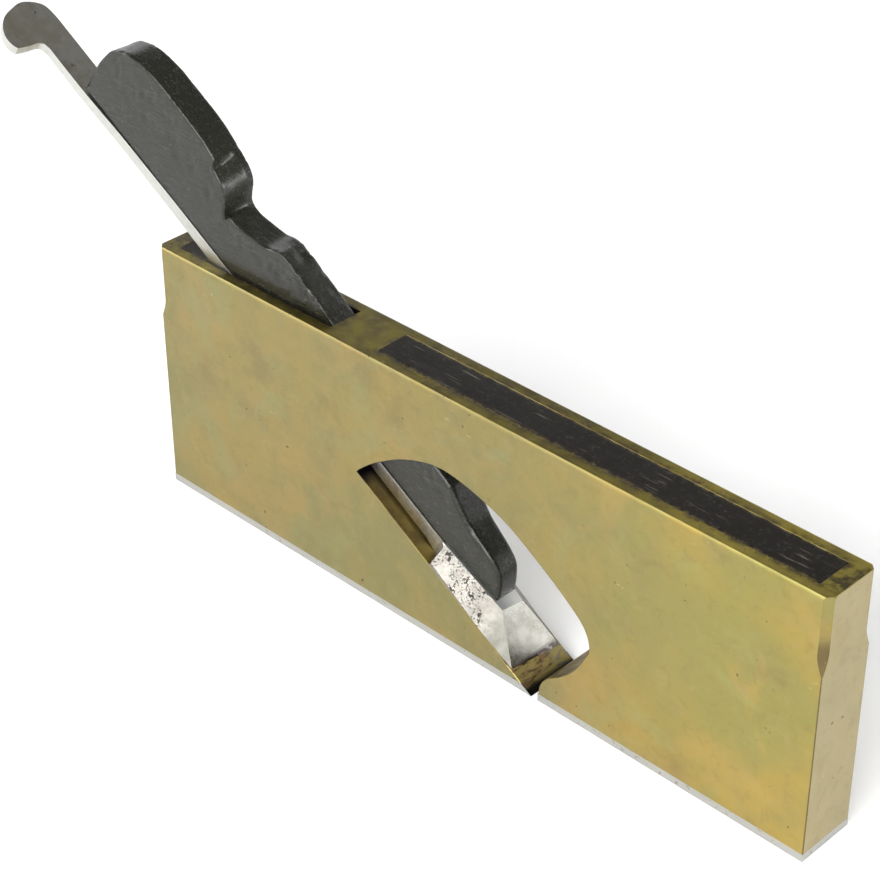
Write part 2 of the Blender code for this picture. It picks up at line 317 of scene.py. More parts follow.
def throat_cutter():
    """The throat as a solid that flares at both sides, which leaves the throat's edges rounded.

    flare is how far out, and how deep from the side, each step lies, in parts of the rounding.
    """
    line = respaced(smooth(THROAT_KNOTS), 1.1)
    outline = [*line, (MOUTH_FRONT_X, -CLEAR), (bed_x(-CLEAR), -CLEAR)]
    normals = line_normals(outline, closed=True)
    flare = [(2.4, -0.54), (0.5, 0.13), (0.13, 0.5), (0.0, 1.0)]
    unevenness = 0.45
    patch = 9.0
    levels = [(-HALF_WIDTH + depth * ARRIS, out) for out, depth in flare]
    levels += [(HALF_WIDTH - depth * ARRIS, out) for out, depth in reversed(flare)]
    solid = bmesh.new()
    rings = []
    for y, out in levels:
        ring = []
        for (x, z), (nx, nz) in zip(outline, normals):
            wave = noise.noise(Vector((x / patch, y, z / patch)))
            worn = ARRIS * (1.0 + unevenness * wave)
            ring.append(solid.verts.new(Vector((x + nx * out * worn, y, z + nz * out * worn)) * MM))
        rings.append(ring)
    solid.faces.new(rings[0])
    solid.faces.new(rings[-1])
    join_rings(solid, rings)
    return object_from("throat_cutter", solid)


def mortise_outline():
    """The wedge's mortise from the side, as (x, z), from above the top down into the throat."""
    above = HEIGHT + CLEAR
    low = BED_WOOD_Z
    inside_throat_z = 57.0
    return [(bed_x(above), above), (bed_x(low), low), (0.0, low),
            (abutment_x(inside_throat_z), inside_throat_z), (abutment_x(above), above)]


def rear_pocket_outline():
    """The pocket behind the bed, which also takes in the bed's upper part."""
    left = END_WALL - HALF_LENGTH
    return [(left, HEIGHT), (left, FLOOR_Z), (bed_x(FLOOR_Z, BED_WEB), FLOOR_Z),
            (bed_x(BED_WOOD_Z, BED_WEB), BED_WOOD_Z), (bed_x(BED_WOOD_Z), BED_WOOD_Z),
            (bed_x(HEIGHT), HEIGHT)]


def front_pocket_outline():
    """The pocket ahead of the bridge, stepped over the throat."""
    right = HALF_LENGTH - END_WALL
    bend_z = 68.0
    bridge = [(abutment_x(HEIGHT, BRIDGE), HEIGHT), (abutment_x(bend_z, BRIDGE), bend_z)]
    over_throat = [(x, z + THROAT_WEB) for x, z in ((0.0, 59.2), (20.0, 52.5), (48.0, 34.5))]
    beside_throat = [(x + THROAT_WEB, z) for x, z in ((48.6, 28.0), (44.6, 17.0), (37.0, FLOOR_Z))]
    return [*bridge, *over_throat, *beside_throat, (right, FLOOR_Z), (right, HEIGHT)]


def open_topped(outline):
    """The outline carried up past the casting's top at its first and last points."""
    first, last = outline[0], outline[-1]
    return [(first[0], first[1] + CLEAR), *outline, (last[0], last[1] + CLEAR)]


def chamfer_cutter(name, end, side):
    """A bar along an upright corner that runs out in a curve at the chamfer's stop."""
    corner_x = end * HALF_LENGTH
    corner_y = side * HALF_WIDTH
    beyond = 1.0
    thinnest = 0.02
    steps = 12
    levels = []
    for step in range(steps + 1):
        share = step / steps
        size = max(thinnest, CHAMFER * math.sin(math.pi / 2 * share))
        levels.append((CHAMFER_STOP + (CHAMFER_FULL - CHAMFER_STOP) * share, size))
    levels.append((HEIGHT + CLEAR, CHAMFER))
    solid = bmesh.new()
    rings = []
    for z, size in levels:
        rings.append([solid.verts.new(Vector(point) * MM) for point in (
            (corner_x + end * beyond, corner_y + side * beyond, z),
            (corner_x - end * size, corner_y + side * beyond, z),
            (corner_x - end * size, corner_y, z),
            (corner_x, corner_y - side * size, z),
            (corner_x + end * beyond, corner_y - side * size, z))])
    solid.faces.new(rings[0])
    solid.faces.new(rings[-1])
    join_rings(solid, rings)
    return object_from(name, solid)


def cut(target, tool):
    """Cuts the tool out of the target when its modifiers are applied."""
    boolean = target.modifiers.new(tool.name, "BOOLEAN")
    boolean.operation = "DIFFERENCE"
    boolean.solver = "EXACT"
    boolean.object = tool
    return tool


def casting_block():
    """The casting's outer form. Its long top edges fall away a little before they turn over.

    fall is how far in from the side, and how far down from the top, each step of that turn lies.
    """
    low = BODY_LOW.z
    fall = [(0.0, 1.5), (0.06, 0.85), (0.22, 0.40), (0.50, 0.10), (0.95, 0.0)]
    end_bevel = 0.35
    near = [(-HALF_WIDTH, low), *((inward - HALF_WIDTH, HEIGHT - down) for inward, down in fall)]
    far = [(-y, z) for y, z in reversed(near)]
    section = [Vector((-HALF_LENGTH, y, z)) * MM for y, z in (*near, *far)]
    solid = prism(section, Vector((2 * HALF_LENGTH, 0, 0)) * MM)
    foot = (low + 1.0) * MM
    end = (HALF_LENGTH - 0.01) * MM
    edges = [edge for edge in solid.edges
             if all(abs(vert.co.x) > end for vert in edge.verts)
             and edge.verts[0].co.x * edge.verts[1].co.x > 0
             and max(vert.co.z for vert in edge.verts) > foot]
    bevel(solid, edges, end_bevel, 3)
    return solid


def make_body():
    """The casting, with rounded outer edges, a flared throat and softened edges round its openings."""
    body = object_from("body_casting", casting_block())
    inner = HALF_WIDTH - WALL
    tools = [cut(body, throat_cutter())]
    for name, outline in (("mortise_cutter", mortise_outline()),
                          ("rear_pocket_cutter", open_topped(rear_pocket_outline())),
                          ("front_pocket_cutter", open_topped(front_pocket_outline()))):
        tools.append(cut(body, object_from(name, side_prism(outline, inner))))
    for end in (-1, 1):
        for side in (-1, 1):
            tools.append(cut(body, chamfer_cutter(f"chamfer_cutter{end}{side}", end, side)))
    settle(body)
    for tool in tools:
        bpy.data.objects.remove(tool, do_unlink=True)
    soften_inner_edges(body)
    return shade(body)


def soften_inner_edges(body):
    """A small rounding on the edges of the mortise and the pockets, where they open on the top."""
    margin = 0.1
    sharp = 0.3
    flat = math.radians(0.3)
    solid = bmesh.new()
    solid.from_mesh(body.data)
    bmesh.ops.remove_doubles(solid, verts=solid.verts, dist=1e-6)
    bmesh.ops.dissolve_limit(solid, angle_limit=flat, verts=solid.verts, edges=solid.edges)
    inner = (HALF_WIDTH - WALL + margin) * MM
    top = (HEIGHT - 0.05) * MM
    ends = (HALF_LENGTH - END_WALL + margin) * MM
    edges = [edge for edge in solid.edges
             if len(edge.link_faces) == 2 and edge.calc_face_angle() > sharp
             and all(vert.co.z > top and abs(vert.co.y) < inner and abs(vert.co.x) < ends
                     for vert in edge.verts)]
    bevel(solid, edges, WORN_EDGE, 2)
    solid.to_mesh(body.data)
    solid.free()


def make_sole(name, node, front):
    """A steel strip up to the casting's underside, with its edges a little worn."""
    low, high = (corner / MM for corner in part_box(node))
    top = BODY_LOW.z
    if front:
        outline = [(low.x, 0.0), (high.x, 0.0), (high.x, top), (low.x, top)]
    else:
        outline = [(low.x, 0.0), (bed_x(0.0), 0.0), (bed_x(top), top), (low.x, top)]
    solid = side_prism(outline, HALF_WIDTH)
    gap = 4.0 * MM
    slice_up(solid, Vector((low.x, 0, 0)) * MM, Vector((high.x, 0, 0)) * MM, gap)
    round_edges(solid, WORN_EDGE)
    made = object_from(name, solid)

    def wear(place, normal):
        return normal * (0.05 * MM * waves(place, 11.0, 3))

    move_points(made, wear)
    return shade(made)


# ---------------------------------------------------------------- infills

def make_infill(name, outline, seed):
    """An ebony block that fills its pocket. Its top has shallow dips and is ragged along both sides."""
    side_gap = 0.04
    end_gap = 0.05
    inner = HALF_WIDTH - WALL - side_gap
    centre_x = sum(x for x, _ in outline) / len(outline)
    centre_z = sum(z for _, z in outline) / len(outline)
    shrunk = []
    for x, z in outline:
        lift = end_gap if z < centre_z else 0.0
        shrunk.append((x + math.copysign(end_gap, centre_x - x), z + lift))
    solid = side_prism(shrunk, inner)
    left = min(x for x, _ in shrunk)
    right = max(x for x, _ in shrunk)
    gap_along = 0.8 * MM
    gap_across = 0.45 * MM
    slice_up(solid, Vector((left, 0, 0)) * MM, Vector((right, 0, 0)) * MM, gap_along)
    slice_up(solid, Vector((0, -inner, 0)) * MM, Vector((0, inner, 0)) * MM, gap_across)
    made = object_from(name, solid)
    top = (HEIGHT - 0.02) * MM

    def wear(place, _normal):
        if place.z < top:
            return Vector()
        rim = step_between(inner - 0.9, inner, abs(place.y) / MM)
        ragged = max(0.0, waves(place, 2.6, seed) + 0.25 * waves(place, 0.9, seed + 1))
        dip = 0.04 + 0.05 * waves(place, 9.0, seed + 2) + 0.03 * waves(place, 2.0, seed + 3)
        return Vector((0, 0, -1)) * MM * (max(0.0, dip) + 0.35 * rim * ragged)

    move_points(made, wear)
    return shade(made, 50.0)


# ---------------------------------------------------------------- iron

def iron_front_h(u):
    """How high the iron's front face stands above the bed."""
    slope = (BEVEL_H - HEAD_H) / (HEAD_U - BEVEL_U)
    return BEVEL_H - (u - BEVEL_U) * slope


def iron_outline():
    """The iron seen square to its face, as (u, v): blade, shoulders, shank and hooked head."""
    side = HALF_WIDTH
    fillet = 1.4
    near_shoulder = smooth([(SHOULDER_U + 2.2, SHANK_NEAR_V), (SHOULDER_U + 0.6, SHANK_NEAR_V - 0.5),
                            (SHOULDER_U + 0.1, SHANK_NEAR_V - fillet), (SHOULDER_U - 0.6, -side)], 5)
    far_shoulder = smooth([(SHOULDER_U - 0.6, side), (SHOULDER_U + 0.1, SHANK_FAR_V + fillet),
                           (SHOULDER_U + 0.6, SHANK_FAR_V + 0.5), (SHOULDER_U + 2.2, SHANK_FAR_V)], 5)
    head = smooth([(244.0, SHANK_FAR_V), (249.0, 3.3), (251.6, 0.8), (HEAD_U, -3.0), (252.0, -7.2),
                   (250.2, -10.9), (247.2, -13.6), (244.0, HOOK_V), (241.0, HOOK_V), (239.0, -14.0)], 8)
    throat = smooth([(238.4, -10.2), (238.3, -7.4), (237.4, -5.8), (235.2, SHANK_NEAR_V)], 8)
    return [(0.0, -side), (0.0, side), *far_shoulder, *head, *throat, *near_shoulder]


def plane_through(a, b, c, outward):
    """A point and the unit normal of the plane through three points, with the normal turned outward."""
    normal = (b - a).cross(c - a).normalized()
    if normal.dot(outward) < 0:
        normal.negate()
    return a, normal


def bend_iron(place, _normal):
    """The head's slight bend, the hollow under the shank and the forging's unevenness."""
    u, h = bed_frame(place)
    across = Vector((0, MM, 0))
    back_face = 1.0
    bend = -1.1 * step_between(196.0, 224.0, u)
    ripple = 0.08 * step_between(60.0, 90.0, u)
    hollow = 0.9 * step_between(SHOULDER_U + 2.0, SHOULDER_U + 5.0, u) * step_between(125.0, 100.0, u)
    if h > back_face:
        hollow = 0.0
    lift = bend + hollow - ripple * abs(waves(place, 24.0, 5))
    return square_to_bed() * lift + across * (2 * ripple * waves(place, 30.0, 6))


def make_iron():
    """A tapered forged bar, ground to a bevel at the edge and sloped on both flanks of the blade."""
    up = square_to_bed()
    across = Vector((0, 1, 0))
    side = HALF_WIDTH
    rest = 0.04
    stock = 8.0
    solid = prism([bed_point(u, v, rest) for u, v in iron_outline()], up * stock)
    cut_flat(solid, *plane_through(
        bed_point(0, 0, iron_front_h(0)),
        bed_point(0, 1, iron_front_h(0)),
        bed_point(HEAD_U, 0, HEAD_H), up))
    for sign in (-1, 1):
        cut_flat(solid, *plane_through(
            bed_point(BEVEL_U, sign * RIB_BEVEL_V, BEVEL_H),
            bed_point(SHOULDER_U, sign * RIB_SHOULDER_V, iron_front_h(SHOULDER_U)),
            bed_point(SHOULDER_U, sign * side, FIT + BLADE_SIDE_H), up + across * sign))
    cut_flat(solid, *plane_through(
        bed_point(EDGE_U + EDGE_SKEW, -side, rest),
        bed_point(EDGE_U - EDGE_SKEW, side, rest),
        bed_point(BEVEL_U, 0, BEVEL_H), up))

    def at_the_edge(edge):
        places = [bed_frame(vert.co) for vert in edge.verts]
        return all(u < EDGE_U + 2 and h < 0.8 for u, h in places)

    round_edges(solid, 0.28, segments=3, keep=at_the_edge)
    slice_up(solid, bed_point(50, 0, 0), bed_point(HEAD_U, 0, 0), 3.0 * MM)
    made = object_from("plane_iron", solid)
    move_points(made, bend_iron)
    return shade(made)


# ---------------------------------------------------------------- wedge

def wedge_profile():
    """The wedge's upper side as (u, h), from its butt over the top, the notch and down to the nose."""
    return respaced(smooth(WEDGE_TOP, 8) + smooth(WEDGE_NOSE, 8), 0.6)


def ring_side(u, h, inward, half, base, arris):
    """The near half of a loop: up the side from the foot, then round the arris onto the front."""
    corner = (u + inward[0] * arris, h + inward[1] * arris)
    rise = max(0.0, corner[1] - base - FOOT_ROUND)
    side_steps = 22
    arris_steps = 6
    points = []
    for step in range(side_steps + 1):
        share = step / side_steps
        points.append((u + (corner[0] - u) * share, -half, base + FOOT_ROUND + rise * share))
    for step in range(1, arris_steps + 1):
        turn = math.pi / 2 * step / arris_steps
        out = arris * (1 - math.sin(turn))
        points.append((u + inward[0] * out, -half + arris * (1 - math.cos(turn)), h + inward[1] * out))
    return points


def wedge_ring(place, inward, half, base):
    """One loop round the wedge: up the near side, across the front, down the far side, back below."""
    u, h = place
    arris = 0.80 + 0.30 * noise.noise(Vector((u / 13.0, h / 13.0, 1.0)))
    arris += 0.5 * step_between(80.0, 55.0, u)
    arris = min(arris, 0.8 * (h - base), half * 0.6)
    pared = PARED_DEPTH * step_between(PARED_FROM_U, PARED_FROM_U + 1.3, u)
    pared *= step_between(PARED_TO_U, PARED_TO_U - 0.9, u)
    near = ring_side(u, h - pared, inward, half, base, arris)
    far = [(a, -v, c) for a, v, c in reversed(ring_side(u, h, inward, half, base, arris))]
    front_steps = 16
    reach = half - arris
    front = []
    for step in range(1, front_steps):
        v = -reach * (1 - 2 * step / front_steps)
        share = min(1.0, max(0.0, (PARED_TO_V - v) / (PARED_TO_V + reach)))
        front.append((u, v, h - pared * share))
    sole = [(u, half - FOOT_ROUND, base), (u, 0.0, base), (u, FOOT_ROUND - half, base)]
    return [bed_point(*point) for point in (*near, *front, *far, *sole)]


def make_wedge():
    """The wedge, built ring by ring, then worn: dents and chips at the notch and along the front edges."""
    profile = wedge_profile()
    normals = line_normals(profile)
    ease = 6.0
    solid = bmesh.new()
    rings = []
    for place, normal in zip(profile, normals):
        u = place[0]
        share = step_between(WEDGE_TIP_U - ease, WEDGE_TAPER_U + ease, u)
        half = WEDGE_TIP_HALF + (WEDGE_HALF - WEDGE_TIP_HALF) * share
        base = iron_front_h(u) + FIT + WEDGE_LIFT
        rings.append([solid.verts.new(point) for point in wedge_ring(place, normal, half, base)])
    join_rings(solid, rings)
    solid.faces.new(rings[0])
    solid.faces.new(rings[-1])
    made = object_from("ebony_wedge", solid)
    move_points(made, wear_wedge)
    return shade(made, 32.0)


def wear_wedge(place, normal):
    """The wedge's hand wear: chipped arrises, shallow scoops and a twist of the front below the notch."""
    u, h = bed_frame(place)
    v = place.y / MM
    twist = 0.18
    front = step_between(13.0, 20.0, h)
    lower = step_between(141.0, 136.0, u) * step_between(98.0, 110.0, u)
    shift = square_to_bed() * (-twist * v * front * lower)
    edge = step_between(3.4, 4.9, abs(v)) * front
    chip = max(0.0, waves(place, 1.7, 31) - 0.18) * 1.1
    knocks = max(0.0, waves(place, 4.2, 32) - 0.22) * 1.1
    worn = 0.35 + 0.65 * lower
    shift -= normal * MM * edge * worn * (chip + knocks)
    shift -= normal * MM * front * 0.30 * (0.5 + lower) * max(0.0, waves(place, 5.0, 33))
    shift += normal * MM * 0.06 * front * waves(place, 12.0, 34)
    return shift


# ---------------------------------------------------------------- materials

def colour(red, green, blue):
    """A linear colour with full alpha."""
    return (red, green, blue, 1.0)


class Look:
    """A material's node tree, with short calls for the nodes that the finishes share.

    Sizes given to noise and bump are in millimetres. Every noise is read in object coordinates.
    """

    def __init__(self, name):
        self.material = bpy.data.materials.new(name)
        self.material.use_nodes = True
        self.tree = self.material.node_tree
        self.shader = self.tree.nodes["Principled BSDF"]
        self.place = self.tree.nodes.new("ShaderNodeTexCoord").outputs["Object"]

    def link(self, value, socket):
        """Feeds the socket from another node's output, or sets it to a plain value."""
        if isinstance(value, bpy.types.NodeSocket):
            self.tree.links.new(value, socket)
        else:
            socket.default_value = value

    def node(self, kind, **settings):
        made = self.tree.nodes.new("ShaderNode" + kind)
        for key, value in settings.items():
            setattr(made, key, value)
        return made

    def stretched(self, x, y, z):
        """Object coordinates scaled apart along each axis."""
        mapping = self.node("Mapping")
        self.link(self.place, mapping.inputs["Vector"])
        mapping.inputs["Scale"].default_value = (x, y, z)
        return mapping.outputs["Vector"]

    def noise(self, size, detail=4.0, rough=0.55, place=None, distortion=0.0):
        """Noise that changes over size millimetres."""
        made = self.node("TexNoise")
        self.link(place or self.place, made.inputs["Vector"])
        made.inputs["Scale"].default_value = 1.0 / (size * MM)
        made.inputs["Detail"].default_value = detail
        made.inputs["Roughness"].default_value = rough
        made.inputs["Distortion"].default_value = distortion
        return made.outputs["Fac"]

    def range(self, value, low, high, to_low=0.0, to_high=1.0):
        """The value carried smoothly from low..high to to_low..to_high. low may be the larger one."""
        made = self.node("MapRange", interpolation_type="SMOOTHSTEP")
        settings = {"From Min": low, "From Max": high, "To Min": to_low, "To Max": to_high}
        for key, number in settings.items():
            made.inputs[key].default_value = number
        self.link(value, made.inputs["Value"])
        return made.outputs["Result"]

    def math(self, operation, a, b=0.0):
        made = self.node("Math", operation=operation)
        self.link(a, made.inputs[0])
        self.link(b, made.inputs[1])
        return made.outputs[0]

    def times(self, a, b):
        return self.math("MULTIPLY", a, b)

    def mix(self, share, a, b, blend="MIX"):
        """Colour a where share is 0 and b where it is 1. MULTIPLY tints a by b instead."""
        made = self.node("Mix", data_type="RGBA", blend_type=blend)
        self.link(share, made.inputs[0])
        self.link(a, made.inputs[6])
        self.link(b, made.inputs[7])
        return made.outputs[2]

    def layer(self, base, mask, amount, tone):
        """The base with the tone laid over it where the mask is 1, by that amount."""
        return self.mix(self.times(mask, amount), base, tone)

    def bump(self, height, distance, normal=None):
        """Bump of that many millimetres."""
        made = self.node("Bump")
        made.inputs["Strength"].default_value = 1.0
        made.inputs["Distance"].default_value = distance * MM
        self.link(height, made.inputs["Height"])
        if normal is not None:
            self.link(normal, made.inputs["Normal"])
        return made.outputs["Normal"]

    def part(self, axis):
        """One coordinate of the place, in metres, or of the normal for "nx", "ny" and "nz"."""
        split = self.node("SeparateXYZ")
        if axis.startswith("n"):
            source = self.node("TexCoord").outputs["Normal"]
        else:
            source = self.place
        self.link(source, split.inputs[0])
        return split.outputs["XYZ".index(axis[-1].upper())]

    def size(self, axis):
        """One coordinate without its sign, for the same names as part takes."""
        return self.math("ABSOLUTE", self.part(axis))

    def up_the_bed(self):
        """Distance up the bed from the mouth's rear lip, in metres."""
        across = self.math("SUBTRACT", LIP_X * MM, self.part("x"))
        flat = self.times(across, math.cos(BED_ANGLE))
        return self.math("ADD", flat, self.times(self.part("z"), math.sin(BED_ANGLE)))

    def inside(self):
        """1 on what lies within the casting, such as the throat's walls, and 0 on its outer faces."""
        side = self.math("SUBTRACT", HALF_WIDTH * MM, self.size("y"))
        below = self.math("SUBTRACT", HEIGHT * MM, self.part("z"))
        end = self.math("SUBTRACT", HALF_LENGTH * MM, self.size("x"))
        area = MM * MM
        top_edge = self.range(self.times(side, below), 0.30 * area, 0.9 * area)
        corner = self.range(self.times(side, end), 3.0 * area, 4.0 * area)
        return self.times(top_edge, corner)

    def finish(self, base, roughness, metallic, normal=None, specular=0.5):
        """Feeds the shader and gives the finished material."""
        self.shader.inputs["Specular IOR Level"].default_value = specular
        self.link(base, self.shader.inputs["Base Color"])
        self.link(roughness, self.shader.inputs["Roughness"])
        self.link(metallic, self.shader.inputs["Metallic"])
        if normal is not None:
            self.link(normal, self.shader.inputs["Normal"])
        return self.material


def gunmetal():
    """Old cast gunmetal: cloudy olive and tan outside, dark dirt and painted shade in the throat, a few
    small pits, painted shade on the top and the chamfers and a painted highlight on the ends.
    """
    look = Look("aged_gunmetal")
    clouds = look.noise(38.0, 3.0, 0.5, distortion=0.5)
    small_clouds = look.noise(12.0, 4.0, 0.55)
    olive = colour(0.222, 0.202, 0.082)
    tan = colour(0.285, 0.218, 0.076)
    base = look.mix(look.range(clouds, 0.36, 0.66), olive, tan)
    base = look.mix(look.range(small_clouds, 0.42, 0.72, 0.0, 0.55), base, colour(0.222, 0.196, 0.092))
    warm = look.range(look.noise(29.0, 3.0, 0.5, distortion=0.9), 0.52, 0.66, 0.0, 0.50)
    base = look.mix(warm, base, colour(0.325, 0.232, 0.090))
    cool = look.range(look.noise(21.0, 3.0, 0.5, distortion=0.9), 0.54, 0.68, 0.0, 0.5)
    base = look.mix(cool, base, colour(0.245, 0.240, 0.110))
    toward_toe = look.range(look.part("x"), 10.0 * MM, 100.0 * MM)
    base = look.mix(toward_toe, base, colour(1.22, 1.19, 0.90), "MULTIPLY")
    stain = look.range(look.noise(24.0, 5.0, 0.6), 0.56, 0.72, 0.0, 0.45)
    base = look.mix(stain, base, colour(0.205, 0.150, 0.062))
    # Painted highlight: the end faces are painted lighter, standing for the pale floor that they mirror.
    ends = look.range(look.size("nx"), 0.75, 0.95)
    base = look.layer(base, ends, 0.75, colour(0.330, 0.285, 0.162))
    # Painted shade: the chamfer faces are painted darker, and much darker low down where they run out at
    # their stops.
    slant = look.times(look.part("nx"), look.size("ny"))
    stop = look.range(look.math("ABSOLUTE", slant), 0.15, 0.30)
    foot = look.times(stop, look.range(look.part("z"), 73.0 * MM, 66.0 * MM))
    base = look.layer(base, stop, 0.30, colour(0.150, 0.122, 0.056))
    base = look.layer(base, foot, 0.72, colour(0.070, 0.050, 0.030))
    # Partly painted shade: faces turned up take a tone of their own, darker than the sides towards the
    # heel.
    top = look.range(look.part("nz"), 0.6, 0.95)
    base = look.mix(top, base, shaded_top_with_wax(look))
    lines = look.noise(0.6, 2.0, 0.5, place=look.stretched(0.03, 1.0, 1.0))
    base = look.mix(look.range(lines, 0.3, 0.7, 0.0, 0.05), base, colour(0.36, 0.30, 0.14))
    smudge = look.noise(4.5, 5.0, 0.65, distortion=0.8)
    base = look.mix(look.range(smudge, 0.50, 0.68, 0.0, 0.26), base, colour(0.190, 0.156, 0.062))
    base = look.mix(look.range(smudge, 0.46, 0.30, 0.0, 0.22), base, colour(0.36, 0.29, 0.14))
    nicks = look.noise(0.9, 2.0, 0.5, place=look.stretched(0.22, 1.0, 1.0))
    some = look.range(look.noise(15.0, 2.0, 0.5), 0.58, 0.68)
    nicks = look.times(look.range(nicks, 0.68, 0.75), some)
    base = look.layer(base, nicks, 0.6, colour(0.55, 0.46, 0.24))
    few = look.range(look.noise(17.0, 2.0, 0.5), 0.50, 0.62)
    pits = look.times(look.range(look.noise(1.9, 1.0, 0.4), 0.715, 0.745), few)
    base = look.layer(base, pits, 0.8, colour(0.060, 0.036, 0.018))
    inside = look.inside()
    # Inside the casting the colour is partly dirt and partly painted shade.
    base = look.mix(inside, base, throat_dirt_and_shade(look))
    rough = look.range(small_clouds, 0.3, 0.7, 0.30, 0.40)
    rough = look.math("ADD", rough, look.times(inside, 0.12))
    normal = look.bump(look.noise(16.0, 2.0, 0.5), 0.10)
    normal = look.bump(lines, 0.004, normal=normal)
    normal = look.bump(pits, -0.05, normal=normal)
    return look.finish(base, rough, 0.90, normal)


def shaded_top_with_wax(look):
    """The top face, in a tone of its own that is partly painted shade: olive bronze, brighter towards the
    toe, with black wax smeared round the ebony and painted shade along the far rail.
    """
    mottle = look.range(look.noise(6.0, 4.0, 0.6), 0.38, 0.68)
    heel_end_top = look.mix(mottle, colour(0.165, 0.132, 0.012), colour(0.095, 0.073, 0.012))
    toe_end_top = look.mix(mottle, colour(0.330, 0.262, 0.042), colour(0.210, 0.165, 0.032))
    tone = look.mix(look.range(look.part("x"), 30.0 * MM, 95.0 * MM), heel_end_top, toe_end_top)
    inner = HALF_WIDTH - WALL
    middle = look.range(look.size("y"), (inner + 2.2) * MM, inner * MM)
    ragged = look.range(look.noise(3.4, 5.0, 0.65), 0.38, 0.60)
    bridge_start = abutment_x(HEIGHT)
    bridge_end = abutment_x(HEIGHT, BRIDGE)
    before_end = look.range(look.part("x"), bridge_end * MM, (bridge_end - 2.0) * MM)
    past_start = look.range(look.part("x"), bridge_start * MM, (bridge_start + 4.0) * MM, 0.0, 0.85)
    clear = look.times(before_end, past_start)
    wax_and_far_shade = look.times(look.times(middle, ragged), look.math("SUBTRACT", 1.0, clear))
    # Painted shade: the far rail is painted darker towards the heel, merged with the wax smear.
    far = look.range(look.part("y"), 5.0 * MM, 7.5 * MM, 0.0, 0.35)
    far = look.times(far, look.range(look.part("x"), 70.0 * MM, 20.0 * MM))
    wax_and_far_shade = look.math("MAXIMUM", wax_and_far_shade, far)
    return look.layer(tone, wax_and_far_shade, 0.85, colour(0.030, 0.022, 0.020))


def throat_dirt_and_shade(look):
    """Colour in the throat, partly dirt and partly painted shade: near black high up, dark olive on the
    bed, brown and gold at the mouth, with a painted highlight towards the far side low down.
    """
    height = look.part("z")
    streaks = look.noise(2.2, 4.0, 0.6, place=look.stretched(1.0, 0.28, 1.0), distortion=0.6)
    cloud = look.range(look.noise(6.0, 4.0, 0.6), 0.35, 0.65)
    olive = look.mix(cloud, colour(0.180, 0.134, 0.038), colour(0.108, 0.078, 0.028))
    high = look.range(height, 38.5 * MM, 42.0 * MM)
    tone = look.mix(high, olive, colour(0.012, 0.008, 0.013))
    fine = look.range(look.noise(1.8, 4.0, 0.65), 0.40, 0.66)
    brown = look.mix(fine, colour(0.300, 0.190, 0.090), colour(0.075, 0.048, 0.034))
    # Painted highlight: low down, the far side is painted pale grey-green.
    far_lip_highlight = look.range(look.part("y"), 1.5 * MM, 6.5 * MM, 0.0, 0.7)
    brown = look.mix(far_lip_highlight, brown, colour(0.330, 0.320, 0.240))
    gold = look.mix(look.range(streaks, 0.46, 0.58), brown, colour(0.440, 0.350, 0.120))
    low = look.range(height, 10.0 * MM, 5.5 * MM)
    tone = look.mix(low, tone, gold)
    black = look.range(height, 2.1 * MM, 0.8 * MM)
    return look.mix(black, tone, colour(0.012, 0.011, 0.008))


def sole_steel():
    """Bright drawn steel with a few rust freckles, and the throat's dark dirt and painted shade on its
    slope at the mouth.
    """
    look = Look("sole_steel")
    lines = look.noise(0.35, 2.0, 0.5, place=look.stretched(0.03, 1.0, 1.0))
    spots = look.range(look.noise(1.3, 3.0, 0.6), 0.60, 0.70)
    base = look.mix(lines, colour(0.34, 0.34, 0.33), colour(0.46, 0.46, 0.44))
    base = look.layer(base, spots, 0.6, colour(0.16, 0.12, 0.07))
    slope = look.times(look.range(look.part("nz"), 0.5, 0.8), look.inside())
    base = look.mix(slope, base, throat_dirt_and_shade(look))
    normal = look.bump(lines, 0.006)
    return look.finish(base, look.range(lines, 0.3, 0.7, 0.28, 0.40), 0.95, normal)


